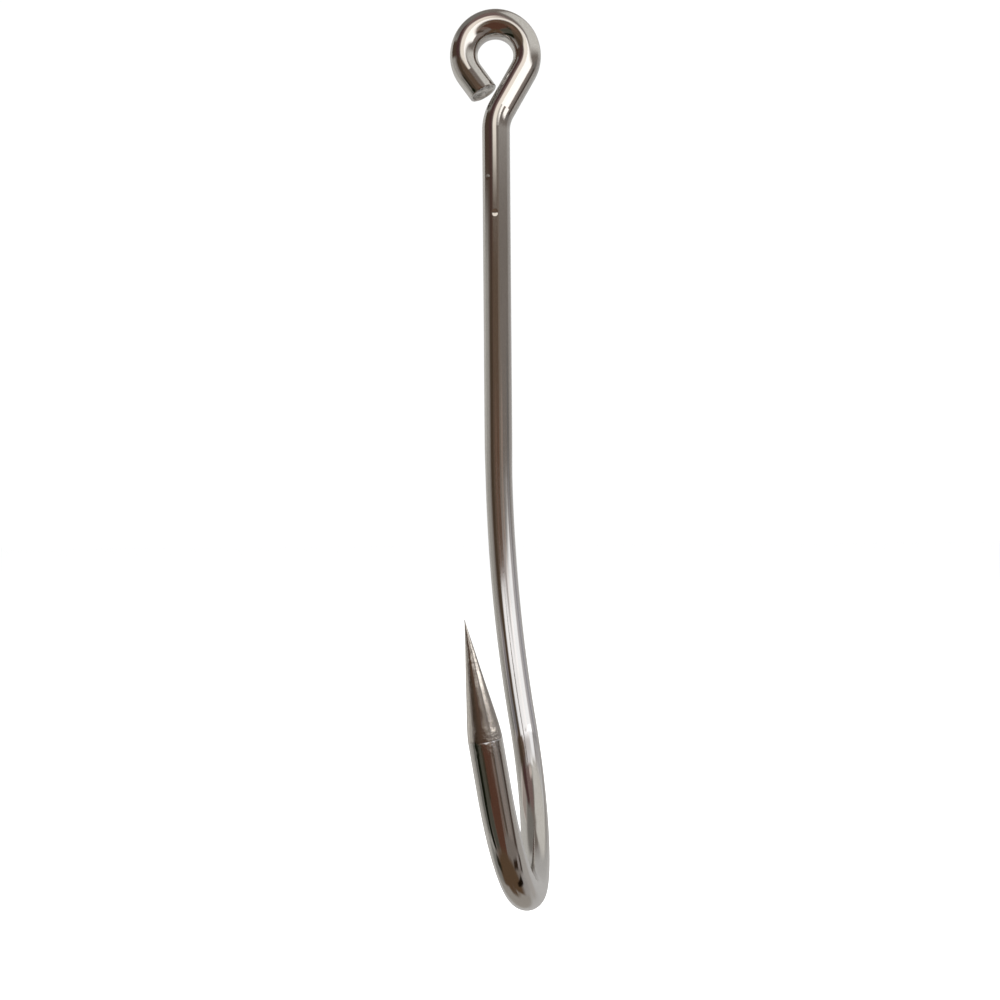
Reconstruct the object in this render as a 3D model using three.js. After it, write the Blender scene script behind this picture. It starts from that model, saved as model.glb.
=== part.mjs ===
// A large eyed hook bent from one length of round drawn wire: a ring eye with a cut tail, a neck, a
// straight shank, a lower shank set over to one side, a deep round bend and a ground point.
// Each node is one stretch of that wire. The stretches are cut square to the wire, so that
// neighbours share a flat round section and meet face to face.
//
// Frame, in millimetres: the origin is the centre of the eye and +Z runs up along the shank. The eye
// lies in the XZ plane, the point stands off towards -Y and the lower shank is set over towards +X.

import * as THREE from 'three';

// ---- Driving dimensions, in millimetres and degrees. Bend radii are to the wire's centreline. ----

const WIRE_DIAMETER = 4;

const EYE_BORE = 5; // clear width of the round part of the eye
const TAIL_SLANT = 36; // between the tail that closes the eye and the shank
const TAIL_LENGTH = 3.2;
const NECK_SLANT = 30; // between the slanting neck and the shank
const NECK_BEND_RADIUS = 6;

const STRAIGHT_SHANK_LENGTH = 44.8;
const SET_SHANK_LENGTH = 39.5; // the gently curved lower shank, along the wire
const SET_ANGLE = 9.2; // how far that curve leans over by its lower end

const BEND_RADIUS = 17; // leaves a gap 30 mm wide between shank and point
const BEND_ANGLE = 178;
const BEND_TURN = 6.7; // the bend's plane is turned this much about the shank
const LIMB_LENGTH = 5.8; // straight wire between the bend and the point
const POINT_LENGTH = 13.2;

// ---- Values worked out from them ----

const WIRE_RADIUS = WIRE_DIAMETER / 2;
const RING_RADIUS = EYE_BORE / 2 + WIRE_RADIUS;
const tailSlant = THREE.MathUtils.degToRad(TAIL_SLANT);
const neckSlant = THREE.MathUtils.degToRad(NECK_SLANT);
const setAngle = THREE.MathUtils.degToRad(SET_ANGLE);
const bendAngle = THREE.MathUtils.degToRad(BEND_ANGLE);
const bendTurn = THREE.MathUtils.degToRad(BEND_TURN);

// The slanting neck leaves the ring on a tangent, and the neck bend takes it into the shank's axis.
const NECK_LENGTH = RING_RADIUS / Math.tan(neckSlant) - NECK_BEND_RADIUS * Math.tan(neckSlant / 2);

// ---- Fineness of the solids ----

const SECTION_SIDES = 32;
const BEND_STEP = 1.4; // greatest length of one step along a tight bend
const SET_STEP = 5; // the same, along the gently curved lower shank
const BEND_PARTS = ['bend_back', 'bend_lower_back', 'bend_lower_front', 'bend_front'];

// ---- Metal ----

const POLISHED = { color: 0xb4b2b0, roughness: 0.08, metalness: 1 };
const GROUND = { color: 0xa6a4a2, roughness: 0.22, metalness: 1 };
const SHEARED = { color: 0xa09f9c, roughness: 0.35, metalness: 1 };

/** A circular arc that starts along `heading` and curves towards the side `inward`. */
class WireArc extends THREE.Curve {
  constructor(start, heading, inward, radius, angle) {
    super();
    this.start = start.clone();
    this.heading = heading.clone();
    this.inward = inward.clone();
    this.radius = radius;
    this.angle = angle;
  }

  getPoint(t, target = new THREE.Vector3()) {
    const turned = this.angle * t;
    return target
      .copy(this.start)
      .addScaledVector(this.heading, this.radius * Math.sin(turned))
      .addScaledVector(this.inward, this.radius * (1 - Math.cos(turned)));
  }

  getTangent(t, target = new THREE.Vector3()) {
    const turned = this.angle * t;
    return target
      .set(0, 0, 0)
      .addScaledVector(this.heading, Math.cos(turned))
      .addScaledVector(this.inward, Math.sin(turned));
  }
}

/** The wire's centreline, laid down stretch by stretch from the cut tail to the point. */
class WireRun {
  constructor(start, heading) {
    this.place = start.clone();
    this.heading = heading.clone().normalize();
  }

  straight(length) {
    const start = this.place.clone();
    this.place.addScaledVector(this.heading, length);
    return new THREE.LineCurve3(start, this.place.clone());
  }

  bend(radius, angle, side) {
    const inward = side.clone().addScaledVector(this.heading, -side.dot(this.heading)).normalize();
    const arc = new WireArc(this.place, this.heading, inward, radius, angle);
    this.place = arc.getPoint(1);
    this.heading = arc.getTangent(1).normalize();
    return arc;
  }
}

const hook = new THREE.Group();

/** Adds a named mesh of one finish to the hook and returns it. */
function addNode(name, geometry, finish) {
  const mesh = new THREE.Mesh(geometry, new THREE.MeshStandardMaterial(finish));
  mesh.name = name;
  hook.add(mesh);
  return mesh;
}

/** A round wire along one stretch of the centreline, with flat square ends. */
function addWire(name, curve, steps, finish = POLISHED) {
  const section = new THREE.Shape();
  section.absarc(0, 0, WIRE_RADIUS, 0, 2 * Math.PI, false);
  const geometry = new THREE.ExtrudeGeometry(section, {
    curveSegments: SECTION_SIDES / 2,
    steps,
    bevelEnabled: false,
    extrudePath: curve,
  });
  return addNode(name, geometry, finish);
}

/** The number of steps along an arc, so that none is longer than `step`. */
function stepsAlong(arc, step) {
  return Math.ceil((arc.radius * arc.angle) / step);
}

/** The ground cone, which starts at the end of the run and comes to the point. */
function addPoint(name, run, length) {
  const profile = [
    new THREE.Vector2(0, 0),
    new THREE.Vector2(WIRE_RADIUS, 0),
    new THREE.Vector2(0, length),
  ];
  const cone = addNode(name, new THREE.LatheGeometry(profile, SECTION_SIDES), GROUND);
  cone.position.copy(run.place);
  cone.quaternion.setFromUnitVectors(new THREE.Vector3(0, 1, 0), run.heading);
}

// ---- Eye and neck: the tail runs up to the ring, the ring goes over the top, the neck comes down ----

const tailJoin = new THREE.Vector3(-Math.cos(tailSlant), 0, -Math.sin(tailSlant)).multiplyScalar(RING_RADIUS);
const tailHeading = new THREE.Vector3(-Math.sin(tailSlant), 0, Math.cos(tailSlant));
const run = new WireRun(tailJoin.clone().addScaledVector(tailHeading, -TAIL_LENGTH), tailHeading);

addWire('eye_tail', run.straight(TAIL_LENGTH), 1, SHEARED);

const ring = run.bend(RING_RADIUS, Math.PI + tailSlant + neckSlant, tailJoin.clone().negate());
addWire('eye_ring', ring, stepsAlong(ring, BEND_STEP / 2));

addWire('neck', run.straight(NECK_LENGTH), 1);

const neckBend = run.bend(NECK_BEND_RADIUS, neckSlant, new THREE.Vector3(1, 0, 0));
addWire('neck_bend', neckBend, stepsAlong(neckBend, BEND_STEP / 2));

// ---- Shank: straight below the neck, then set over to one side ----

addWire('straight_shank', run.straight(STRAIGHT_SHANK_LENGTH), 1);

const pointSide = new THREE.Vector3(-Math.sin(bendTurn), -Math.cos(bendTurn), 0);
const setSide = new THREE.Vector3(Math.cos(bendTurn), -Math.sin(bendTurn), 0);

const setArc = run.bend(SET_SHANK_LENGTH / setAngle, setAngle, setSide);
addWire('set_shank', setArc, stepsAlong(setArc, SET_STEP));

// ---- Bend, in equal parts round the throat, then the limb and the point ----

const bendCentre = run.place.clone().addScaledVector(pointSide, BEND_RADIUS);
for (const name of BEND_PARTS) {
  const arc = run.bend(BEND_RADIUS, bendAngle / BEND_PARTS.length, bendCentre.clone().sub(run.place));
  addWire(name, arc, stepsAlong(arc, BEND_STEP));
}

addWire('point_limb', run.straight(LIMB_LENGTH), 1);
addPoint('ground_point', run, POINT_LENGTH);

export default hook;
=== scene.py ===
"""A large eyed meat hook, bent from one length of mirror-polished stainless wire.

Every length is in metres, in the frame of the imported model: the origin is the centre of the eye, +Z
runs up along the shank, and the point stands off towards -Y.
"""

import logging
import math
from dataclasses import dataclass, replace
from enum import Enum
from typing import Any, Callable, ClassVar, Optional, Sequence, Union

import bmesh
import bpy
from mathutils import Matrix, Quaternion, Vector


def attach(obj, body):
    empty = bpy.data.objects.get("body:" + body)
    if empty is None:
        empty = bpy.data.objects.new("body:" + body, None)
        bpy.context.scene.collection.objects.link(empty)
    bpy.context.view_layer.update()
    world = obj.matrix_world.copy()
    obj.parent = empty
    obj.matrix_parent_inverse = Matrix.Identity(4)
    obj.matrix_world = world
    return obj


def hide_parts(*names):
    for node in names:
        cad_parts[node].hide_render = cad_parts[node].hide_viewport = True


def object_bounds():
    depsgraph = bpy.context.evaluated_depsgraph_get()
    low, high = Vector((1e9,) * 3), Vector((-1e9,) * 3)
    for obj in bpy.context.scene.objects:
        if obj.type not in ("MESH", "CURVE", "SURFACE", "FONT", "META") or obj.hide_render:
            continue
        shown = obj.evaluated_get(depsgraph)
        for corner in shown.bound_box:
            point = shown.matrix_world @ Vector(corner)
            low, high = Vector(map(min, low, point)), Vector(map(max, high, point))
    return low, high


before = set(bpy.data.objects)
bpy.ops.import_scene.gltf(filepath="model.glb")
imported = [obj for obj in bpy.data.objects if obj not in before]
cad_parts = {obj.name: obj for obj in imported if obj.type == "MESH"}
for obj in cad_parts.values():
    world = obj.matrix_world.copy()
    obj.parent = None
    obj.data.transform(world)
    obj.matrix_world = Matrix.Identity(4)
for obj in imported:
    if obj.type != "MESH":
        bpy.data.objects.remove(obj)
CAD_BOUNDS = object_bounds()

LOG = logging.getLogger("meat_hook")
MM = 0.001
Colour = tuple[float, float, float]
Place = tuple[float, float, float]
Socket = bpy.types.NodeSocket
Material = bpy.types.Material
Piece = bpy.types.Object
Pieces = dict[str, Piece]


# ---- Node trees ----


class NodeNet:
    """A node tree, with short ways to add nodes to it and to link them."""

    def __init__(self, tree: bpy.types.NodeTree) -> None:
        """Keep the tree that the nodes go into."""
        self.tree = tree

    def add(self, kind: str, settings: Optional[dict[str, Any]] = None, **inputs: Any) -> bpy.types.Node:
        """Add a node.

        Args:
            kind: the node's type, such as ShaderNodeMath.
            settings: properties of the node itself.
            inputs: socket names, with underscores for spaces, and a value or a socket for each.

        Returns:
            The new node.
        """
        node = self.tree.nodes.new(kind)
        for name, value in (settings or {}).items():
            setattr(node, name, value)
        for name, value in inputs.items():
            wanted = name.replace("_", " ")
            socket = next(s for s in node.inputs if s.name == wanted and s.enabled)
            self.feed(socket, value)
        return node

    def feed(self, socket: Socket, value: Any) -> None:
        """Link a socket to another one, or set its own value.

        Args:
            socket: the input to fill.
            value: an output to link to it, or a plain value.
        """
        if isinstance(value, Socket):
            self.tree.links.new(value, socket)
        else:
            socket.default_value = value

    def out(self, node: bpy.types.Node, name: Optional[str] = None) -> Socket:
        """The node's first shown output, or its shown output of that name."""
        return next(s for s in node.outputs if s.enabled and name in (None, s.name))

    def math(self, operation: str, *values: Any, clamp: bool = False) -> Socket:
        """Do one sum.

        Args:
            operation: the Math node's operation.
            values: its inputs, as values or sockets.
            clamp: whether the result is held between nought and one.

        Returns:
            The result.
        """
        node = self.add("ShaderNodeMath", {"operation": operation, "use_clamp": clamp})
        for socket, value in zip(node.inputs, values):
            self.feed(socket, value)
        return node.outputs[0]

    def vector(self, operation: str, *values: Any, result: str = "Vector") -> Socket:
        """Do one sum on vectors.

        Args:
            operation: the Vector Math node's operation.
            values: its inputs, as values or sockets.
            result: the output that is wanted.

        Returns:
            The result.
        """
        node = self.add("ShaderNodeVectorMath", {"operation": operation})
        shown = [s for s in node.inputs if s.enabled]
        for socket, value in zip(shown, values):
            self.feed(socket, value)
        return self.out(node, result)

    def ramp(self, value: Any, low: float, high: float, to_low: float = 0.0,
             to_high: float = 1.0) -> Socket:
        """Carry a value over smoothly from one range to another.

        Args:
            value: the value.
            low: where the ramp starts.
            high: where it ends.
            to_low: the result at the start and below it.
            to_high: the result at the end and above it.

        Returns:
            The result.
        """
        settings = {"interpolation_type": "SMOOTHSTEP"}
        node = self.add("ShaderNodeMapRange", settings, Value=value, From_Min=low, From_Max=high,
                        To_Min=to_low, To_Max=to_high)
        return self.out(node, "Result")

    def along(self, place: Any) -> Socket:
        """The distance along the wire, out of a place on the unbent wire."""
        return self.out(self.add("ShaderNodeSeparateXYZ", Vector=place), "Z")

    def mix(self, share: Any, under: Any, over: Any) -> Socket:
        """One colour laid over another by a share."""
        node = self.add("ShaderNodeMix", {"data_type": "RGBA"}, Factor=share, A=under, B=over)
        return self.out(node, "Result")

    def attribute(self, name: str, kind: str = "FLOAT") -> Socket:
        """A named attribute, in a geometry tree."""
        read = self.add("GeometryNodeInputNamedAttribute", {"data_type": kind}, Name=name)
        return self.out(read, "Attribute")


def empty_net(owner: bpy.types.ID) -> NodeNet:
    """Switch on the nodes of a material or a world and empty its tree.

    Args:
        owner: the material or world.

    Returns:
        The empty tree.
    """
    owner.use_nodes = True
    owner.node_tree.nodes.clear()
    return NodeNet(owner.node_tree)


# ---- Objects ----


def in_scene(name: str, data: bpy.types.ID) -> Piece:
    """Make an object that stands in the scene.

    Args:
        name: its name.
        data: its mesh, lamp or camera.

    Returns:
        The object.
    """
    made = bpy.data.objects.new(name, data)
    bpy.context.scene.collection.objects.link(made)
    return made


def shine_only_on(source: Piece, shown: Sequence[Piece]) -> None:
    """Keep a light or a glowing shell to a few objects.

    Args:
        source: what shines.
        shown: the objects that it lights.
    """
    receivers = bpy.data.collections.new(source.name + " receivers")
    for piece in shown:
        receivers.objects.link(piece)
    source.light_linking.receiver_collection = receivers


# ---- The wire's path ----


@dataclass(frozen=True)
class WireFrame:
    """A place on the centreline, the way the wire runs there and one direction across it."""

    place: Vector
    heading: Vector
    side: Vector

    def moved(self, length: float, radius: float, inward: Optional[Vector]) -> "WireFrame":
        """The frame further along a straight stretch, or along an arc that curves inward.

        Args:
            length: how far along the wire.
            radius: the arc's radius, not used on a straight stretch.
            inward: the direction of the arc's centre, or None on a straight stretch.

        Returns:
            The frame at that place.
        """
        if inward is None:
            return WireFrame(self.place + self.heading * length, self.heading, self.side)
        angle = length / radius
        turn = Quaternion(self.heading.cross(inward), angle)
        forward = self.heading * (radius * math.sin(angle))
        place = self.place + forward + inward * (radius * (1 - math.cos(angle)))
        return WireFrame(place, turn @ self.heading, turn @ self.side)


@dataclass(frozen=True)
class Stretch:
    """One straight or curved stretch of the wire."""

    name: str
    start: float
    length: float
    first: WireFrame
    radius: float
    inward: Optional[Vector]

    @property
    def end(self) -> float:
        """The distance along the whole wire at which the stretch ends."""
        return self.start + self.length

    def at(self, along: float) -> WireFrame:
        """The frame at a distance along the whole wire."""
        return self.first.moved(along - self.start, self.radius, self.inward)


class WirePath:
    """The whole centreline, laid down stretch by stretch from the cut tail to the point."""

    def __init__(self, first: WireFrame) -> None:
        """Start at the cut end of the tail."""
        self.last = first
        self.stretches: dict[str, Stretch] = {}

    @property
    def length(self) -> float:
        """The length of the wire laid down so far."""
        return sum(stretch.length for stretch in self.stretches.values())

    def straight(self, name: str, length: float) -> None:
        """Add a straight stretch."""
        self._add(name, length, math.inf, None)

    def bend(self, name: str, radius: float, angle: float, side: Vector) -> None:
        """Add an arc that turns through an angle towards one side."""
        heading = self.last.heading
        self._add(name, radius * angle, radius, (side - heading * side.dot(heading)).normalized())

    def _add(self, name: str, length: float, radius: float, inward: Optional[Vector]) -> None:
        """Add a stretch and move on to its far end.

        Args:
            name: its name.
            length: its length along the wire.
            radius: its bend radius, endless on a straight stretch.
            inward: the direction of the bend's centre, or None.
        """
        stretch = Stretch(name, self.length, length, self.last, radius, inward)
        self.stretches[name] = stretch
        self.last = stretch.at(stretch.end)

    def at(self, along: float) -> WireFrame:
        """Find a place on the centreline, which is carried on past either end.

        Args:
            along: the distance along the wire.

        Returns:
            The frame there.
        """
        reached = [s for s in self.stretches.values() if s.start <= along]
        holder = reached[-1] if reached else next(iter(self.stretches.values()))
        return holder.at(along)


# ---- Finishes ----


class Working(Enum):
    """How a surface was worked, which sets its texture."""

    DRAWN = "drawn"
    GROUND = "ground"
    SHEARED = "sheared"


@dataclass(frozen=True)
class Grain:
    """Noise on the unbent wire: cells per metre around it and along it, and detail."""

    around: float
    along: float
    detail: float

    def value(self, net: NodeNet, place: Any) -> Socket:
        """The noise at a place, from nought to one."""
        spread = net.vector("MULTIPLY", place, (self.around, self.around, self.along))
        return net.out(net.add("ShaderNodeTexNoise", Vector=spread, Scale=1.0, Detail=self.detail), "Fac")


@dataclass(frozen=True)
class Dent:
    """A small round dent, placed on the unbent wire."""

    side: float
    lift: float
    along: float
    radius: float
    depth: float

    FLOOR = 0.15

    def relief(self, net: NodeNet, place: Any) -> Socket:
        """The height at a place on the unbent wire: nought well away from the dent."""
        away = net.vector("DISTANCE", place, (self.side, self.lift, self.along), result="Value")
        return net.ramp(away, self.FLOOR * self.radius, self.radius, -self.depth, 0.0)


@dataclass(frozen=True)
class Scuff:
    """A band of fine scuffs round the wire, placed on the unbent wire."""

    along: float
    reach: float
    depth: float

    CORE = 0.2
    GRAIN = Grain(2300.0, 1700.0, 3.0)

    def relief(self, net: NodeNet, place: Any) -> Socket:
        """Work out the relief.

        Args:
            net: the nodes to work in.
            place: the place on the unbent wire.

        Returns:
            The height there, nought well away from the band.
        """
        away = net.math("ABSOLUTE", net.math("SUBTRACT", net.along(place), self.along))
        depth = net.ramp(away, self.CORE * self.reach, self.reach, self.depth, 0.0)
        return net.math("MULTIPLY", self.GRAIN.value(net, place), depth)


@dataclass(frozen=True)
class SteelFinish:
    """Stainless steel with the marks of its working; depths are of the surface relief."""

    name: str
    working: Working
    tone: Colour = (0.70, 0.69, 0.675)
    worn_tone: Colour = (0.65, 0.64, 0.62)
    roughness: float = 0.06
    roughness_spread: float = 0.05
    line_depth: float = 0.0009 * MM
    wave_depth: float = 0.013 * MM
    texture_depth: float = 0.0
    coarse_run: tuple[float, float] = (0.0, 1.0)
    coarse_roughness: float = 0.0
    marks: tuple[Union[Dent, Scuff], ...] = ()

    LINES = Grain(5200.0, 22.0, 4.0)
    WAVES = Grain(330.0, 26.0, 1.5)
    GLOSS_RANGE = (0.35, 0.7)
    TONE_RANGE = (0.3, 0.75)
    PATCHES = {
        Working.DRAWN: Grain(240.0, 70.0, 3.0),
        Working.GROUND: Grain(240.0, 70.0, 3.0),
        Working.SHEARED: Grain(1000.0, 1000.0, 4.0),
    }
    TEXTURES = {
        Working.DRAWN: Grain(3000.0, 700.0, 2.0),
        Working.GROUND: Grain(1500.0, 8000.0, 4.0),
        Working.SHEARED: Grain(2600.0, 2600.0, 5.0),
    }

    def material(self) -> Material:
        """Build the material.

        Returns:
            A metal whose relief and gloss follow the wire's own places.
        """
        made = bpy.data.materials.new(self.name)
        net = empty_net(made)
        place = net.out(net.add("ShaderNodeAttribute", {"attribute_name": WireShell.PLACE}), "Vector")
        height = net.math("MULTIPLY", self.LINES.value(net, place), self.line_depth)
        height = net.math("MULTIPLY_ADD", self.WAVES.value(net, place), self.wave_depth, height)
        texture = self.TEXTURES[self.working].value(net, place)
        height = net.math("MULTIPLY_ADD", texture, self.texture_depth, height)
        for mark in self.marks:
            height = net.math("ADD", height, mark.relief(net, place))
        bump = net.add("ShaderNodeBump", Strength=1.0, Distance=1.0, Height=height)
        patches = self.PATCHES[self.working].value(net, place)
        dullest = self.roughness + self.roughness_spread
        rough = net.ramp(patches, *self.GLOSS_RANGE, self.roughness, dullest)
        if self.coarse_roughness:
            coarse = net.ramp(net.along(place), *self.coarse_run, 0.0, self.coarse_roughness)
            rough = net.math("ADD", rough, coarse)
        worn = net.ramp(patches, *self.TONE_RANGE)
        shade = net.mix(worn, (*self.tone, 1.0), (*self.worn_tone, 1.0))
        steel = net.add("ShaderNodeBsdfPrincipled", Metallic=1.0, Roughness=rough, Base_Color=shade,
                        Normal=bump.outputs[0])
        net.add("ShaderNodeOutputMaterial", Surface=steel.outputs[0])
        return made


# ---- The wire's surface ----


@dataclass(frozen=True)
class Row:
    """One ring of the skin, with the size and state of the wire there."""

    along: float
    thickness: float
    pressed: float = 0.0
    mottle: float = 0.0
    slant: float = 0.0


class WireShell:
    """Makes closed skins over stretches of the wire, with Geometry Nodes."""

    PLACE = "unbent_place"
    NORMAL = "skin_normal"
    ROW = "row"
    SIDES = 96
    WELD = 0.0002 * MM
    FLAT_SOFTNESS = 0.25 * MM
    SHOULDER_SOFTNESS = 0.05 * MM
    MOTTLE_AROUND, MOTTLE_ALONG, MOTTLE_DETAIL = 900.0, 420.0, 2.0
    INDEX_NUDGE, HALF_ROW = 0.25, 0.5
    END_FACE_SHARE = 0.90

    def __init__(self, path: WirePath, wire_radius: float) -> None:
        """Keep the path and build the one tree that all the skins use."""
        self.path = path
        self.wire_radius = wire_radius
        self.tree = self._build_tree()

    def skin(self, name: str, rows: Sequence[Row], finish: Material,
             end_finish: Optional[Material] = None) -> Piece:
        """Make a closed skin.

        Args:
            name: the new piece's name.
            rows: its rings in order, with one spare beyond each end.
            finish: the material.
            end_finish: the material of its cut end, if it has one.

        Returns:
            The piece, as a plain mesh with its modifier gone.
        """
        piece = in_scene(name, self._path_mesh(name, rows))
        self._run_tree(piece, finish)
        self._close(piece.data)
        if end_finish is not None:
            self._dress_end(piece.data, end_finish)
        return piece

    def _path_mesh(self, name: str, rows: Sequence[Row]) -> bpy.types.Mesh:
        """Make the chain of points that carries the wire's frames and sizes.

        Args:
            name: the chain's name.
            rows: the rings to come, one for each point.

        Returns:
            The chain.
        """
        frames = [self.path.at(row.along) for row in rows]
        mesh = bpy.data.meshes.new(name)
        mesh.from_pydata([f.place for f in frames], [(i, i + 1) for i in range(len(frames) - 1)], [])
        vectors = {"heading": [f.heading for f in frames], "side": [f.side for f in frames]}
        for attribute, values in vectors.items():
            layer = mesh.attributes.new(attribute, "FLOAT_VECTOR", "POINT")
            layer.data.foreach_set("vector", [part for value in values for part in value])
        for attribute in ("along", "thickness", "pressed", "mottle", "slant"):
            layer = mesh.attributes.new(attribute, "FLOAT", "POINT")
            layer.data.foreach_set("value", [getattr(row, attribute) for row in rows])
        return mesh

    def _build_tree(self) -> bpy.types.GeometryNodeTree:
        """Build the tree that turns a chain of points into a round skin.

        Returns:
            The tree, whose inputs are the chain, its sizes and the material.
        """
        tree = bpy.data.node_groups.new("Wire skin", "GeometryNodeTree")
        sockets = (("Geometry", "Geometry"), ("Sides", "Int"), ("Wire Radius", "Float"),
                   ("Flat Softness", "Float"), ("Shoulder Softness", "Float"),
                   ("Weld Distance", "Float"), ("Material", "Material"))
        for name, kind in sockets:
            tree.interface.new_socket(name, in_out="INPUT", socket_type="NodeSocket" + kind)
        tree.interface.new_socket("Geometry", in_out="OUTPUT", socket_type="NodeSocketGeometry")
        net = NodeNet(tree)
        given = net.add("NodeGroupInput").outputs
        size = net.add("GeometryNodeAttributeDomainSize", {"component": "MESH"}, Geometry=given["Geometry"])
        rows = net.out(size, "Point Count")
        columns = net.math("ADD", given["Sides"], 1.0)
        grid = net.add("GeometryNodeMeshGrid", Size_X=1.0, Size_Y=1.0, Vertices_X=rows, Vertices_Y=columns)
        index = net.out(net.add("GeometryNodeInputIndex"))
        row = net.math("FLOOR", net.math("DIVIDE", net.math("ADD", index, self.INDEX_NUDGE), columns))
        column = net.math("SUBTRACT", index, net.math("MULTIPLY", row, columns))
        angle = net.math("DIVIDE", net.math("MULTIPLY", column, 2 * math.pi), given["Sides"])

        def at_row(value: Socket, kind: str) -> Socket:
            """A value of the chain's point at this row."""
            found = net.add("GeometryNodeSampleIndex", {"data_type": kind, "domain": "POINT"},
                            Geometry=given["Geometry"], Value=value, Index=row)
            return net.out(found, "Value")

        def named(name: str, kind: str = "FLOAT") -> Socket:
            """An attribute of the chain's point at this row."""
            return at_row(net.attribute(name, kind), kind)

        place = at_row(net.out(net.add("GeometryNodeInputPosition")), "FLOAT_VECTOR")
        heading, side = named("heading", "FLOAT_VECTOR"), named("side", "FLOAT_VECTOR")
        lift = net.vector("CROSS_PRODUCT", heading, side)
        cosine, sine = net.math("COSINE", angle), net.math("SINE", angle)
        radius = self._ground_radius(net, named, cosine, sine, given)
        out_side, out_lift = net.math("MULTIPLY", cosine, radius), net.math("MULTIPLY", sine, radius)
        limit = net.math("SUBTRACT", given["Wire Radius"], named("pressed"))
        held = net.math("SMOOTH_MIN", net.math("ABSOLUTE", out_side), limit, given["Flat Softness"])
        flat = net.math("MULTIPLY", net.math("SIGN", out_side), held)
        skewed = net.math("MULTIPLY", out_side, named("slant"))
        skin = place
        for direction, length in ((side, flat), (lift, out_lift), (heading, skewed)):
            step = net.add("ShaderNodeVectorMath", {"operation": "SCALE"}, Vector=direction, Scale=length)
            skin = net.vector("ADD", skin, step.outputs[0])
        moved = net.add("GeometryNodeSetPosition", Geometry=net.out(grid, "Mesh"), Position=skin)
        along = net.math("ADD", named("along"), skewed)
        unbent = net.out(net.add("ShaderNodeCombineXYZ", X=out_side, Y=out_lift, Z=along))
        placed = self._stored(net, net.out(moved), self.PLACE, unbent)
        counted = self._stored(net, placed, self.ROW, row, "FLOAT")
        welded = net.add("GeometryNodeMergeByDistance", Geometry=counted, Distance=given["Weld Distance"])
        smooth = net.add("GeometryNodeSetShadeSmooth", Geometry=net.out(welded), Shade_Smooth=True)
        normal = net.out(net.add("GeometryNodeInputNormal"))
        marked = self._stored(net, net.out(smooth), self.NORMAL, normal)
        own_row = net.attribute(self.ROW)
        first = net.math("LESS_THAN", own_row, self.HALF_ROW)
        last = net.math("GREATER_THAN", own_row, net.math("SUBTRACT", rows, 1 + self.HALF_ROW))
        trimmed = net.add("GeometryNodeDeleteGeometry", {"domain": "POINT"}, Geometry=marked,
                          Selection=net.math("ADD", first, last))
        whole = net.add("GeometryNodeRealizeInstances", Geometry=net.out(trimmed))
        dressed = net.add("GeometryNodeSetMaterial", Geometry=net.out(whole), Material=given["Material"])
        net.add("NodeGroupOutput", Geometry=net.out(dressed))
        return tree

    def _ground_radius(self, net: NodeNet, named: Callable[..., Socket], cosine: Any,
                       sine: Any, given: Any) -> Socket:
        """The skin's radius: what grinding has left of the wire, with its mottled surface.

        Args:
            net: the nodes to work in.
            named: gives an attribute of the chain at this row.
            cosine: the cosine of the angle round the wire.
            sine: its sine.
            given: the tree's inputs.

        Returns:
            The radius at this point.
        """
        reach = self.wire_radius * self.MOTTLE_AROUND
        spot = net.add("ShaderNodeCombineXYZ", X=net.math("MULTIPLY", cosine, reach),
                       Y=net.math("MULTIPLY", sine, reach),
                       Z=net.math("MULTIPLY", named("along"), self.MOTTLE_ALONG))
        noise = net.add("ShaderNodeTexNoise", Vector=net.out(spot), Scale=1.0, Detail=self.MOTTLE_DETAIL)
        centred = net.math("SUBTRACT", net.out(noise, "Fac"), 0.5)
        ground = net.math("MULTIPLY_ADD", centred, named("mottle"), named("thickness"))
        return net.math("SMOOTH_MIN", ground, given["Wire Radius"], given["Shoulder Softness"])

    def _stored(self, net: NodeNet, geometry: Any, name: str, value: Any,
                kind: str = "FLOAT_VECTOR") -> Socket:
        """Store a value on the points of a geometry.

        Args:
            net: the nodes to work in.
            geometry: the geometry.
            name: the attribute's name.
            value: its value.
            kind: its type.

        Returns:
            The geometry with its attribute.
        """
        settings = {"data_type": kind, "domain": "POINT"}
        return net.out(net.add("GeometryNodeStoreNamedAttribute", settings, Geometry=geometry, Name=name,
                               Value=value))

    def _run_tree(self, piece: Piece, finish: Material) -> None:
        """Run the tree on a piece and keep the result as its plain mesh.

        Args:
            piece: the piece, whose mesh is its chain of points.
            finish: its material.
        """
        modifier = piece.modifiers.new("Wire skin", "NODES")
        modifier.node_group = self.tree
        values = {
            "Sides": self.SIDES, "Wire Radius": self.wire_radius, "Flat Softness": self.FLAT_SOFTNESS,
            "Shoulder Softness": self.SHOULDER_SOFTNESS, "Weld Distance": self.WELD, "Material": finish,
        }
        for item in self.tree.interface.items_tree:
            if item.in_out == "INPUT" and item.name in values:
                modifier[item.identifier] = values[item.name]
        evaluated = piece.evaluated_get(bpy.context.evaluated_depsgraph_get())
        made = bpy.data.meshes.new_from_object(evaluated)
        piece.modifiers.remove(modifier)
        made.materials.clear()
        made.materials.append(finish)
        made.polygons.foreach_set("material_index", [0] * len(made.polygons))
        piece.data = made
        made.name = piece.name

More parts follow.
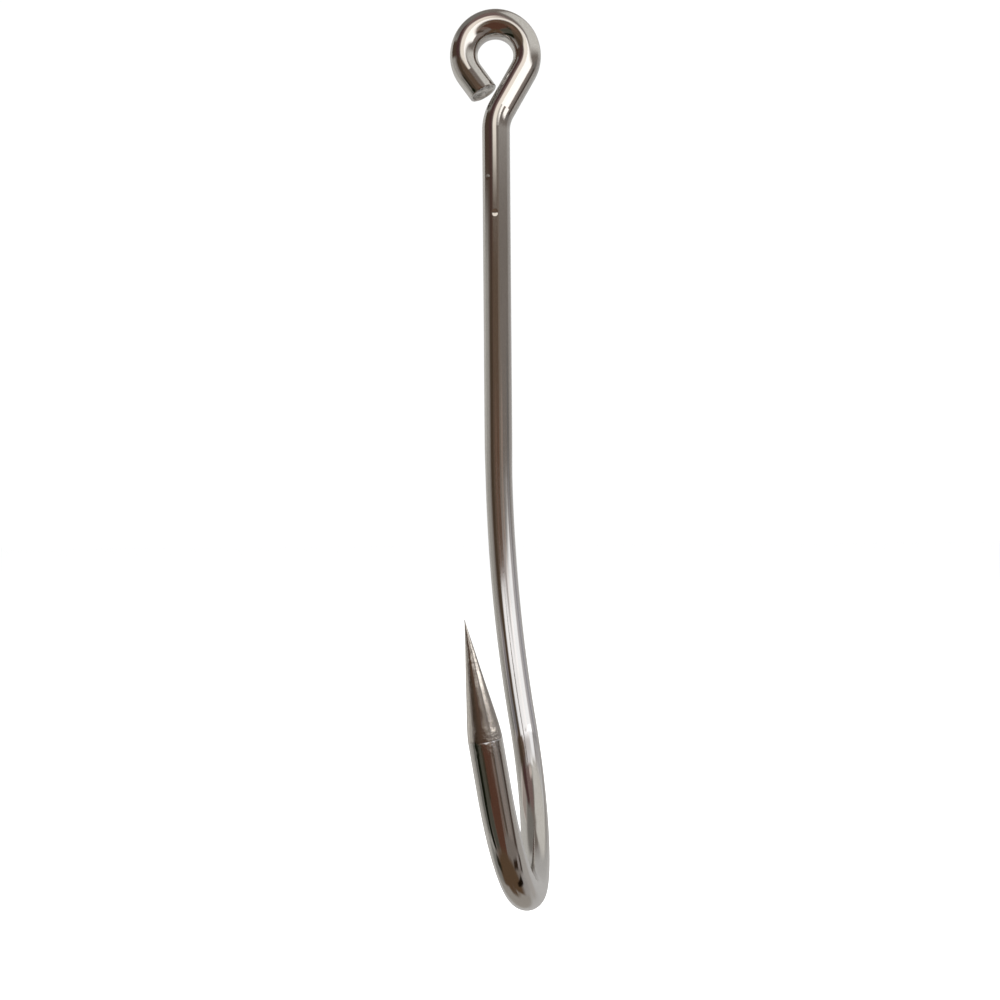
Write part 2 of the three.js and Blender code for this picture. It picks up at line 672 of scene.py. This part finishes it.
    def _close(self, mesh: bpy.types.Mesh) -> None:
        """Close both ends, point the faces outwards and give the skin its exact normals.

        Args:
            mesh: the skin.
        """
        work = bmesh.new()
        work.from_mesh(mesh)
        open_edges = [edge for edge in work.edges if edge.is_boundary]
        for cap in bmesh.ops.holes_fill(work, edges=open_edges, sides=0)["faces"]:
            cap.smooth = False
            cap.material_index = 0
        bmesh.ops.recalc_face_normals(work, faces=work.faces[:])
        work.to_mesh(mesh)
        work.free()
        stored = mesh.attributes[self.NORMAL].data
        normals = []
        for face in mesh.polygons:
            for vertex in face.vertices:
                normal = Vector(stored[vertex].vector)
                outward = 1.0 if normal.dot(face.normal) > 0 else -1.0
                normals.append(normal * outward if face.use_smooth else face.normal)
        mesh.normals_split_custom_set(normals)

    def _dress_end(self, mesh: bpy.types.Mesh, finish: Material) -> None:
        """Give the faces of the cut end, inside the rim, their own material.

        Args:
            mesh: the skin.
            finish: the cut end's material.
        """
        mesh.materials.append(finish)
        places = mesh.attributes[self.PLACE].data
        rim = self.wire_radius * self.END_FACE_SHARE
        for face in mesh.polygons:
            if all(math.hypot(*places[vertex].vector[:2]) < rim for vertex in face.vertices):
                face.material_index = 1


# ---- The hook's sub-assemblies ----


@dataclass
class WireLength:
    """A part of the hook, made of stretches of the one wire."""

    wire_radius: float = 2.0 * MM
    step: float = 0.4 * MM

    SLOTS: ClassVar[dict[str, str]] = {}

    @property
    def unground(self) -> float:
        """A ring size so large that nothing is ground off the wire."""
        return 2 * self.wire_radius

    def lay(self, path: WirePath) -> None:
        """Lay this part's stretches down along the path."""
        raise NotImplementedError

    def metals(self, path: WirePath) -> dict[str, tuple[Material, ...]]:
        """Make the finish of each stretch, and then of its cut end if it has one."""
        raise NotImplementedError

    def rows(self, stretch: Stretch) -> list[Row]:
        """Space rings evenly over one stretch, with one spare beyond each end.

        Args:
            stretch: the stretch.

        Returns:
            The rings in order.
        """
        steps = max(2, round(stretch.length / self.step))
        stride = stretch.length / steps
        return [self.row(stretch.start + stride * i) for i in range(-1, steps + 2)]

    def row(self, along: float) -> Row:
        """The ring at a distance along the wire: here, the full wire."""
        return Row(along, self.unground)

    def build(self, shell: WireShell) -> Pieces:
        """Build and dress this part's pieces and tie them to the frame.

        Args:
            shell: makes the skins.

        Returns:
            The finished pieces, by stretch.
        """
        metals = self.metals(shell.path)
        pieces: Pieces = {}
        for name, slot in self.SLOTS.items():
            made = shell.skin(name + "_skin", self.rows(shell.path.stretches[name]), *metals[name])
            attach(made, "root")
            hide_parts(name)
            pieces[name] = made
        return pieces


@dataclass
class Eye(WireLength):
    """The ring eye, with its sheared tail and the neck that brings the wire back over the shank."""

    bore: float = 5.0 * MM
    tail_slant: float = math.radians(36.0)
    tail_length: float = 3.2 * MM
    neck_slant: float = math.radians(30.0)
    neck_bend_radius: float = 6.0 * MM
    shear_slope: float = 0.16
    shear_reach: float = 2.4 * MM
    torn_depth: float = 0.3 * MM
    torn_inset: float = 0.4 * MM
    # for each ring of the end: how far in it lies, in millimetres, and its share of the wire's radius
    end_profile: tuple[tuple[float, float], ...] = (
        (0.34, 0.0001), (0.33, 0.02), (0.24, 0.18), (0.31, 0.36), (0.17, 0.52), (0.20, 0.68), (0.04, 0.82),
        (-0.06, 0.92), (-0.05, 0.965), (0.02, 1.0), (0.10, 1.012), (0.22, 1.006), (0.4, 1.0),
    )

    SLOTS = {
        "eye_tail": "sheared_wire_end", "eye_ring": "polished_wire", "neck": "polished_wire",
        "neck_bend": "polished_wire",
    }

    @property
    def ring_radius(self) -> float:
        """The radius of the ring, to the wire's centreline."""
        return self.bore / 2 + self.wire_radius

    @property
    def tail_join(self) -> Vector:
        """Where the tail runs into the ring."""
        return Vector((-math.cos(self.tail_slant), 0, -math.sin(self.tail_slant))) * self.ring_radius

    def start(self, shank_side: Vector) -> WireFrame:
        """The cut end of the tail.

        Args:
            shank_side: the direction across the shank that the side direction is to come round to.

        Returns:
            The frame there.
        """
        heading = Vector((-math.sin(self.tail_slant), 0, math.cos(self.tail_slant)))
        side = Quaternion((0, 1, 0), -(math.pi + self.tail_slant)) @ shank_side
        return WireFrame(self.tail_join - heading * self.tail_length, heading, side)

    def lay(self, path: WirePath) -> None:
        """Lay down the tail, the ring, the neck and the neck bend.

        Args:
            path: the centreline so far.
        """
        path.straight("eye_tail", self.tail_length)
        turned = math.pi + self.tail_slant + self.neck_slant
        path.bend("eye_ring", self.ring_radius, turned, -self.tail_join)
        run = self.ring_radius / math.tan(self.neck_slant)
        path.straight("neck", run - self.neck_bend_radius * math.tan(self.neck_slant / 2))
        path.bend("neck_bend", self.neck_bend_radius, self.neck_slant, Vector((1, 0, 0)))

    def row(self, along: float) -> Row:
        """The ring at a distance along the wire, slanted near the sheared end."""
        left = min(max(1 - along / self.shear_reach, 0.0), 1.0)
        return Row(along, self.unground, slant=self.shear_slope * left)

    def rows(self, stretch: Stretch) -> list[Row]:
        """Space the rings, which close over the tail's sheared and slightly torn end.

        Args:
            stretch: the stretch.

        Returns:
            The rings in order.
        """
        even = super().rows(stretch)
        if stretch.name != "eye_tail":
            return even
        closing = []
        for inset, share in self.end_profile:
            row = self.row(inset * MM)
            if row.along < self.torn_inset:
                torn = self.torn_depth * share * share
                row = replace(row, thickness=self.wire_radius * share, mottle=torn)
            closing.append(row)
        return closing + [row for row in even if row.along > closing[-1].along + self.step / 2]

    def metals(self, path: WirePath) -> dict[str, tuple[Material, ...]]:
        """Polished wire, with a bare end where it was sheared."""
        drawn = SteelFinish("Polished eye", Working.DRAWN).material()
        torn = SteelFinish("Sheared end", Working.SHEARED, tone=(0.74, 0.72, 0.69),
                           worn_tone=(0.22, 0.21, 0.19), roughness=0.2, texture_depth=0.05 * MM)
        return {name: (drawn,) for name in self.SLOTS} | {"eye_tail": (drawn, torn.material())}


@dataclass
class Shank(WireLength):
    """The straight shank, and the lower shank that leans over to one side."""

    straight: float = 44.8 * MM
    leaning: float = 39.5 * MM
    lean: float = math.radians(9.2)
    turn: float = math.radians(6.7)
    pressed: float = 0.12 * MM
    press_run_in: float = 6.0 * MM
    press_lead: float = 1.0 * MM
    press_start: float = 0.0

    SLOTS = {"straight_shank": "polished_wire", "set_shank": "pressed_wire"}

    @property
    def lean_side(self) -> Vector:
        """The direction across the straight shank in which the lower shank leans."""
        return Vector((math.cos(self.turn), -math.sin(self.turn), 0))

    def lay(self, path: WirePath) -> None:
        """Lay down the straight and the leaning shank, and note where the pressing begins.

        Args:
            path: the centreline so far.
        """
        path.straight("straight_shank", self.straight)
        self.press_start = path.length - self.press_lead
        path.bend("set_shank", self.leaning / self.lean, self.lean, self.lean_side)

    def pressing(self, along: float) -> float:
        """How far both sides of the wire are pressed flat at a distance along it."""
        share = min(max((along - self.press_start) / self.press_run_in, 0.0), 1.0)
        return self.pressed * share * share * (3 - 2 * share)

    def row(self, along: float) -> Row:
        """The ring at a distance along the wire, with its pressed sides."""
        return Row(along, self.unground, self.pressing(along))

    def metals(self, path: WirePath) -> dict[str, tuple[Material, ...]]:
        """Make the shank's finish, with its two dents.

        Args:
            path: the centreline.

        Returns:
            The finish of each stretch.
        """
        start = path.stretches["straight_shank"].start
        dents = (
            Dent(side=-1.0 * MM, lift=1.73 * MM, along=start + 7.1 * MM, radius=0.42 * MM,
                 depth=0.050 * MM),
            Dent(side=0.0, lift=2.0 * MM, along=start + 12.2 * MM, radius=0.55 * MM, depth=0.040 * MM),
        )
        drawn = SteelFinish("Polished shank", Working.DRAWN, line_depth=0.0012 * MM,
                            texture_depth=0.0006 * MM, marks=dents).material()
        return {name: (drawn,) for name in self.SLOTS}


@dataclass
class Bend(WireLength):
    """The deep round bend, in equal parts round the throat."""

    shank: Optional[Shank] = None
    radius: float = 17.0 * MM
    angle: float = math.radians(178.0)

    PARTS = ("bend_back", "bend_lower_back", "bend_lower_front", "bend_front")
    SLOTS = dict.fromkeys(PARTS, "pressed_wire")

    def lay(self, path: WirePath) -> None:
        """Lay down the parts of the bend about one centre.

        Args:
            path: the centreline so far.
        """
        turn = self.shank.turn
        centre = path.last.place + Vector((-math.sin(turn), -math.cos(turn), 0)) * self.radius
        for name in self.PARTS:
            path.bend(name, self.radius, self.angle / len(self.PARTS), centre - path.last.place)

    def row(self, along: float) -> Row:
        """The ring at a distance along the wire, with its pressed sides."""
        return self.shank.row(along)

    def metals(self, path: WirePath) -> dict[str, tuple[Material, ...]]:
        """Polished wire, its drawing lines a little deeper than the shank's."""
        drawn = SteelFinish("Polished bend", Working.DRAWN, line_depth=0.0013 * MM,
                            texture_depth=0.0008 * MM).material()
        return {name: (drawn,) for name in self.SLOTS}


@dataclass
class Point(WireLength):
    """The short limb above the bend and the ground cone that makes the point."""

    shank: Optional[Shank] = None
    limb: float = 5.8 * MM
    cone: float = 13.2 * MM
    tip_radius: float = 0.05 * MM
    mottle: float = 0.11 * MM
    mottle_share: float = 0.3
    mottle_run: float = 0.16
    mottle_fade: float = 0.25
    fine_step: float = 0.1 * MM
    fine_rows: int = 8
    closing_shares: tuple[float, ...] = (0.6, 0.2, 0.2)
    coarse_shares: tuple[float, float] = (0.45, 0.85)
    scuff_reach: float = 2.8 * MM
    tip_scuff: float = 9.3 * MM
    cone_start: float = 0.0

    SLOTS = {"point_limb": "pressed_wire", "ground_point": "ground_cone"}

    def lay(self, path: WirePath) -> None:
        """Lay down the limb and the point.

        Args:
            path: the centreline so far.
        """
        path.straight("point_limb", self.limb)
        self.cone_start = path.length
        path.straight("ground_point", self.cone)

    def row(self, along: float) -> Row:
        """Make the ring at one place, ground down towards the point.

        Args:
            along: the distance along the wire.

        Returns:
            The ring.
        """
        left = (self.cone_start + self.cone - along) / self.cone
        thickness = max(self.wire_radius * left, self.tip_radius)
        by_shoulder = min(max(1 - (1 - left) / self.mottle_run, 0.0), 1.0)
        mottle = self.mottle * (self.mottle_share + (1 - self.mottle_share) * by_shoulder)
        mottle *= min(left / self.mottle_fade, 1.0)
        return Row(along, thickness, self.shank.pressing(along), mottle)

    def rows(self, stretch: Stretch) -> list[Row]:
        """Space the rings, closer together by the shoulder and on the cone.

        Args:
            stretch: the stretch.

        Returns:
            The rings in order.
        """
        if stretch.name == "ground_point":
            return self.cone_rows(stretch)
        fine = self.fine_rows * self.fine_step
        even = [row for row in super().rows(stretch) if row.along < stretch.end - fine - self.step / 2]
        return even + [self.row(stretch.end + self.fine_step * i) for i in range(-self.fine_rows, 2)]

    def cone_rows(self, stretch: Stretch) -> list[Row]:
        """Space the rings of the cone, which close over the blunted tip.

        Args:
            stretch: the cone.

        Returns:
            The rings in order.
        """
        steps = round(stretch.length / (2 * self.fine_step))
        stride = stretch.length / steps
        rows = [self.row(stretch.start + stride * i) for i in range(0, steps + 1)]
        first = [self.row(stretch.start + self.fine_step * i) for i in (-1, 0, 1)]
        closing = [replace(rows[-1], thickness=self.tip_radius * share) for share in self.closing_shares]
        return first + rows[1:-1] + closing

    def metals(self, path: WirePath) -> dict[str, tuple[Material, ...]]:
        """Make the finishes of the limb and the cone, both scuffed at the shoulder.

        Args:
            path: the centreline; not used.

        Returns:
            The finish of each stretch.
        """
        shoulder = Scuff(self.cone_start, self.scuff_reach, depth=0.036 * MM)
        tip = Scuff(self.cone_start + self.tip_scuff, self.scuff_reach, depth=0.026 * MM)
        drawn = SteelFinish("Polished limb", Working.DRAWN, line_depth=0.0018 * MM,
                            texture_depth=0.0014 * MM, marks=(shoulder,)).material()
        low, high = self.coarse_shares
        run = (self.cone_start + low * self.cone, self.cone_start + high * self.cone)
        ground = SteelFinish("Ground point", Working.GROUND, tone=(0.50, 0.475, 0.45),
                             worn_tone=(0.41, 0.385, 0.36), roughness=0.09, texture_depth=0.0034 * MM,
                             coarse_run=run, coarse_roughness=0.12, marks=(shoulder, tip)).material()
        return {"point_limb": (drawn,), "ground_point": (ground,)}


class Hook:
    """The whole hook: four lengths of one wire."""

    def __init__(self) -> None:
        """Lay the wire's path down from the cut tail to the point."""
        eye, shank = Eye(), Shank()
        self.parts: tuple[WireLength, ...] = (eye, shank, Bend(shank=shank), Point(shank=shank))
        self.path = WirePath(eye.start(shank.lean_side))
        for part in self.parts:
            part.lay(self.path)

    def build(self) -> Pieces:
        """Build every part of the hook, from the eye's tail to the point.

        Returns:
            The pieces in order along the wire, by the stretch each one covers.
        """
        shell = WireShell(self.path, self.parts[0].wire_radius)
        pieces: Pieces = {}
        for part in self.parts:
            made = part.build(shell)
            for piece in made.values():
                LOG.info("%s: %s, %d faces", type(part).__name__, piece.name, len(piece.data.polygons))
            pieces.update(made)
        return pieces


# ---- The studio ----


@dataclass(frozen=True)
class SoftPatch:
    """A soft-edged patch of the room that only the metal reflects.

    Its level is what the polished steel shows of it, on a scale whose white is 255. Its angles are in
    degrees: the azimuth from the side the camera stands on, positive towards +X, and the elevation
    above the horizon. A tilted patch is turned anticlockwise, as seen from the hook.
    """

    level: Colour
    azimuth: float
    elevation: float
    half_width: float
    half_height: float
    edge: float = 8.0
    tilt: float = 0.0
    level_edge: Optional[float] = None

    STEEL_REFLECTANCE = 0.68
    DISPLAY_GAMMA = 2.2
    WHITE = 255
    HALF_TURN = 180.0
    SOFTEST = 1.8

    def light(self) -> tuple[float, float, float, float]:
        """The light that the patch sends, as a linear colour."""
        shown = [(part / self.WHITE) ** self.DISPLAY_GAMMA for part in self.level]
        return (*(part / self.STEEL_REFLECTANCE for part in shown), 1.0)

    def share(self, net: NodeNet, azimuth: Any, elevation: Any) -> Socket:
        """How much of the patch there is in a direction.

        Args:
            net: the nodes to work in.
            azimuth: the direction's azimuth.
            elevation: the direction's elevation.

        Returns:
            One well inside the patch, and nought outside it.
        """
        turned = net.math("SUBTRACT", azimuth, self.azimuth)
        away = net.math("WRAP", turned, self.HALF_TURN, -self.HALF_TURN)
        above = net.math("SUBTRACT", elevation, self.elevation)
        if self.tilt:
            cosine, sine = math.cos(math.radians(self.tilt)), math.sin(math.radians(self.tilt))
            along = net.math("MULTIPLY_ADD", away, cosine, net.math("MULTIPLY", above, sine))
            across = net.math("MULTIPLY_ADD", above, cosine, net.math("MULTIPLY", away, -sine))
            away, above = along, across
        level_edge = self.edge if self.level_edge is None else self.level_edge
        sides = ((away, self.half_width, self.edge), (above, self.half_height, level_edge))
        shares = []
        for offset, half, edge in sides:
            soft = min(edge, self.SOFTEST * half) / 2
            shares.append(net.ramp(net.math("ABSOLUTE", offset), half - soft, half + soft, 1.0, 0.0))
        return net.math("MULTIPLY", *shares)


@dataclass(frozen=True)
class FarPanel:
    """Soft patches on a far, clear shell that add their light to a few pieces only."""

    name: str
    distance: float
    height: float
    shown_by: tuple[str, ...]
    patches: tuple[SoftPatch, ...]

    TURNS, RINGS = 96, 48

    def hang(self, pieces: Pieces) -> None:
        """Hang the panel.

        Args:
            pieces: the hook's pieces by the stretch each one covers.
        """
        work = bmesh.new()
        bmesh.ops.create_uvsphere(work, u_segments=self.TURNS, v_segments=self.RINGS, radius=self.distance)
        mesh = bpy.data.meshes.new(self.name)
        work.to_mesh(mesh)
        work.free()
        mesh.materials.append(self._material())
        panel = in_scene(self.name, mesh)
        panel.location.z = self.height
        panel.visible_camera = panel.visible_diffuse = panel.visible_shadow = False
        shine_only_on(panel, [pieces[stretch] for stretch in self.shown_by])

    def _material(self) -> Material:
        """Clear everywhere, with the patches' light added."""
        made = bpy.data.materials.new(self.name)
        made.cycles.emission_sampling = "NONE"
        net = empty_net(made)
        direction = net.vector("NORMALIZE", net.out(net.add("ShaderNodeTexCoord"), "Object"))
        colour = Room.painted(net, (0.0, 0.0, 0.0, 1.0), self.patches, direction)
        glow = net.add("ShaderNodeEmission", Color=colour, Strength=1.0)
        clear = net.add("ShaderNodeBsdfTransparent")
        both = net.add("ShaderNodeAddShader")
        net.feed(both.inputs[0], glow.outputs[0])
        net.feed(both.inputs[1], clear.outputs[0])
        net.add("ShaderNodeOutputMaterial", Surface=both.outputs[0])
        return made


class Room:
    """The soft lights and dark flags round the hook, as the mirror-polished steel shows them."""

    WHITE_STRENGTH = 1.03
    GREY = SoftPatch((108, 101, 96), 0, 0, 180, 90)
    PATCHES = (
        # side walls
        SoftPatch((142, 139, 134), -130, -4, 52, 52, 24),
        SoftPatch((168, 166, 162), -152, -8, 40, 46, 22),
        SoftPatch((138, 134, 131), 142, 0, 42, 56, 16),
        SoftPatch((156, 154, 152), 168, -4, 34, 46, 22),
        # ceiling
        SoftPatch((184, 181, 176), 82, 52, 62, 29, 16),
        SoftPatch((108, 105, 101), -112, 62, 50, 20, 18),
        SoftPatch((108, 91, 88), -20, 50, 25, 23, 14),
        SoftPatch((70, 58, 50), -76, 27, 31, 11, 6),
        SoftPatch((70, 52, 51), -51, 29, 12, 29, 12, 22),
        # flags at eye level, dark to the left and warm in front
        SoftPatch((68, 57, 47), -52, -2, 13, 18, 11, 12),
        SoftPatch((86, 72, 61), -16, -2, 24, 19, 9),
        SoftPatch((101, 80, 69), -19, -2, 5, 8, 6),
        SoftPatch((90, 70, 59), 1, -2, 6, 8, 6),
        SoftPatch((107, 96, 86), 13, 0, 5, 18, 5),
        SoftPatch((129, 115, 106), 28, -3, 6.5, 10, 6),
        SoftPatch((97, 94, 92), 84, 1, 9, 8, 8),
        # below the horizon
        SoftPatch((70, 69, 62), -44, -38, 15, 22, 7),
        SoftPatch((80, 56, 46), -3, -38, 26, 27, 7),
        SoftPatch((58, 52, 42), -27, -18, 6, 6, 6),
        SoftPatch((104, 88, 80), 29, -26, 5.5, 16, 6, 4),
        SoftPatch((74, 63, 55), 41, -22, 5, 15, 6, 20),
        SoftPatch((121, 112, 107), 60, -18, 11, 16, 6, 14),
        SoftPatch((66, 57, 52), 87, -17, 6, 15, 6),
        SoftPatch((148, 144, 140), 122, -22, 25, 17, 9),
        SoftPatch((92, 92, 87), -86, -30, 8, 14, 6, -20),
        SoftPatch((22, 24, 15), -68, -34, 9, 23, 6, -20),
        SoftPatch((110, 109, 105), -130, -52, 30, 10, 12),
        SoftPatch((80, 64, 50), 0, -80, 180, 20, 12),
        SoftPatch((134, 129, 123), 178, -57, 45, 13, 10),
        SoftPatch((116, 108, 101), 149, -74, 9, 4, 6),
        SoftPatch((26, 20, 14), 102, -61, 8, 10, 6),
        SoftPatch((40, 37, 29), -97, -60, 13, 6, 8),
        SoftPatch((46, 36, 29), 74, -52, 12, 5, 6, 30),
        SoftPatch((128, 121, 118), 88, -42, 5, 5, 5, 30),
        SoftPatch((62, 55, 51), 99, -37, 4.5, 6, 5, 30),
    )
    BEND = Bend.PARTS
    NECK = ("neck_bend", "neck", "eye_ring")
    LOW_WINDOW = FarPanel("Low_window", 2.0, -65 * MM, ("straight_shank", "set_shank", *BEND[:2]), (
        SoftPatch((107, 104, 108), -66, -17, 14, 6.5, 8, 0, 4),
        SoftPatch((84, 87, 98), 104, -8, 22, 9, 10, 0, 3),
        SoftPatch((135, 134, 138), 74, -4, 15, 6, 12, 4.3, 3),
        SoftPatch((221, 224, 228), 17.5, -9.1, 48.5, 7.6, 12, 4.8, 1.4),
        SoftPatch((110, 108, 112), 14, -2.0, 6, 2.2, 10, 0, 4),
    ))
    BEND_LIGHT = FarPanel("Bend_light", 2.2, -88 * MM, (*BEND, "point_limb"), (
        SoftPatch((130, 124, 121), -90, 24, 20, 14, 12),
        SoftPatch((120, 122, 126), 92, 15, 22, 11, 10, 0, 8),
        SoftPatch((166, 167, 170), 22, 14.5, 40, 15.7, 18, 4.3, 3),
        SoftPatch((148, 143, 138), 4, 36, 13, 6, 8),
        SoftPatch((0, 0, 0), 70, 36, 38, 12, 18, 0, 6),
        SoftPatch((216, 219, 224), 21, -2, 42, 6, 13, 4.3, 8),
        SoftPatch((0, 0, 0), 21, -21.6, 60, 20.5, 10, 4.3, 2),
        SoftPatch((214, 217, 222), 48, 9.5, 13, 11, 10),
    ))
    NECK_STREAK = FarPanel("Neck_streak", 2.4, -12 * MM, ("set_shank", "straight_shank", *NECK), (
        SoftPatch((206, 200, 190), -13, 31, 14, 12.5, 10, 0, 5),
    ))
    NECK_LIGHT = FarPanel("Neck_light", 2.6, -5 * MM, ("neck", "eye_ring"), (
        SoftPatch((245, 243, 240), 27, 9, 29, 9, 9, -26),
    ))
    NECK_BEND_LIGHT = FarPanel("Neck_bend_light", 2.8, -9 * MM, ("neck_bend",), (
        SoftPatch((243, 240, 236), 11, 11, 12, 7, 7),
        SoftPatch((243, 240, 236), 52, 0, 14, 9, 8),
    ))
    POINT_LIGHT = FarPanel("Point_light", 3.0, -85 * MM, ("ground_point",), (
        SoftPatch((84, 83, 84), 64, 8, 50, 9, 16),
        SoftPatch((122, 121, 117), -112, -9, 26, 8, 12),
        SoftPatch((236, 232, 226), 14, 13.2, 22, 3.4, 10, 9, 3),
        SoftPatch((315, 312, 306), 76, 15.2, 27, 3.4, 10, 0, 2),
        SoftPatch((190, 188, 184), -60, 1.5, 14, 3, 8, 9, 3),
    ))
    PANELS = (LOW_WINDOW, BEND_LIGHT, NECK_STREAK, NECK_LIGHT, NECK_BEND_LIGHT, POINT_LIGHT)

    @staticmethod
    def angles(net: NodeNet, direction: Any) -> tuple[Socket, Socket]:
        """Work out where a direction points.

        Args:
            net: the nodes to work in.
            direction: the direction, of unit length.

        Returns:
            Its azimuth and elevation, in degrees.
        """
        split = net.add("ShaderNodeSeparateXYZ", Vector=direction).outputs
        turn = net.math("ARCTAN2", split[0], net.math("MULTIPLY", split[1], -1.0))
        rise = net.math("ARCSINE", split[2])
        return net.math("DEGREES", turn), net.math("DEGREES", rise)

    @staticmethod
    def painted(net: NodeNet, colour: Any, patches: Sequence[SoftPatch],
                direction: Any) -> Socket:
        """A colour with patches laid over it one after another.

        Args:
            net: the nodes to work in.
            colour: the colour underneath.
            patches: the patches.
            direction: the direction looked in, of unit length.

        Returns:
            The colour in that direction.
        """
        azimuth, elevation = Room.angles(net, direction)
        for patch in patches:
            colour = net.mix(patch.share(net, azimuth, elevation), colour, patch.light())
        return colour

    def build(self, pieces: Pieces) -> None:
        """Make the world and hang the panels.

        Args:
            pieces: the hook's pieces by the stretch each one covers.
        """
        world = bpy.data.worlds.new("Room")
        bpy.context.scene.world = world
        world.cycles.sampling_method = "NONE"
        net = empty_net(world)
        ray = net.add("ShaderNodeLightPath")
        direction = net.out(net.add("ShaderNodeTexCoord"), "Generated")
        colour = self.painted(net, self.GREY.light(), self.PATCHES, direction)
        mirrored = net.add("ShaderNodeBackground", Color=colour, Strength=1.0)
        plain = net.add("ShaderNodeBackground", Color=(1.0, 1.0, 1.0, 1.0),
                        Strength=self.WHITE_STRENGTH)
        mixed = net.add("ShaderNodeMixShader", Fac=net.out(ray, "Is Glossy Ray"))
        net.feed(mixed.inputs[1], plain.outputs[0])
        net.feed(mixed.inputs[2], mirrored.outputs[0])
        net.add("ShaderNodeOutputWorld", Surface=mixed.outputs[0])
        for panel in self.PANELS:
            panel.hang(pieces)


@dataclass
class Studio:
    """The floor, the lamp over it and the camera."""

    distance: float = 148.0 * MM
    camera_side: float = 0.14 * MM
    camera_height: float = -64.84 * MM
    roll: float = 0.0078
    sensor: float = 36.0
    focal_share: float = 1.041
    lower_by: float = 0.012
    nearest: float = 5.0 * MM
    floor_drop: float = 50.0 * MM
    floor_size: float = 3.0
    floor_tone: Colour = (0.97, 0.97, 0.97)
    lamp_power: float = 6.0
    lamp_size: float = 0.5
    lamp_place: Place = (0.15, -0.1, 0.5)

    def build(self) -> None:
        """Set the whole studio up."""
        self._camera()
        self._lamp(self._floor())

    def _camera(self) -> None:
        """Stand the camera in front of the point, level with the lower shank."""
        data = bpy.data.cameras.new("Camera")
        data.sensor_width = self.sensor
        data.lens = self.sensor * self.focal_share
        data.shift_y = self.lower_by
        data.clip_start = self.nearest
        camera = in_scene("Camera", data)
        camera.location = (self.camera_side, -self.distance, self.camera_height)
        camera.rotation_euler = (math.pi / 2, self.roll, 0.0)
        bpy.context.scene.camera = camera

    def _floor(self) -> Piece:
        """Lay a plain pale floor well below the hanging hook, unseen in its polish.

        Returns:
            The floor.
        """
        low = CAD_BOUNDS[0].z - self.floor_drop
        half = self.floor_size
        corners = [(-half, -half, low), (half, -half, low), (half, half, low), (-half, half, low)]
        mesh = bpy.data.meshes.new("Floor")
        mesh.from_pydata(corners, [], [(0, 1, 2, 3)])
        paint = bpy.data.materials.new("Pale floor")
        paint.use_nodes = True
        shader = paint.node_tree.nodes["Principled BSDF"]
        looks = {"Base Color": (*self.floor_tone, 1.0), "Roughness": 1.0, "Specular IOR Level": 0.0}
        for name, value in looks.items():
            shader.inputs[name].default_value = value
        mesh.materials.append(paint)
        floor = in_scene("Floor", mesh)
        floor.visible_glossy = False
        return floor

    def _lamp(self, floor: Piece) -> None:
        """Hang one broad soft lamp that lights only the floor.

        Args:
            floor: the floor.
        """
        data = bpy.data.lights.new("Soft lamp", "AREA")
        data.shape = "SQUARE"
        data.size = self.lamp_size
        data.energy = self.lamp_power
        lamp = in_scene("Soft lamp", data)
        lamp.location = self.lamp_place
        shine_only_on(lamp, [floor])


def main() -> None:
    """Build the hook and its studio and report each piece."""
    logging.basicConfig(level=logging.INFO, format="%(name)s: %(message)s")
    bpy.context.scene.view_settings.view_transform = "Standard"
    Studio().build()
    Room().build(Hook().build())


if __name__ == "__main__":
    main()
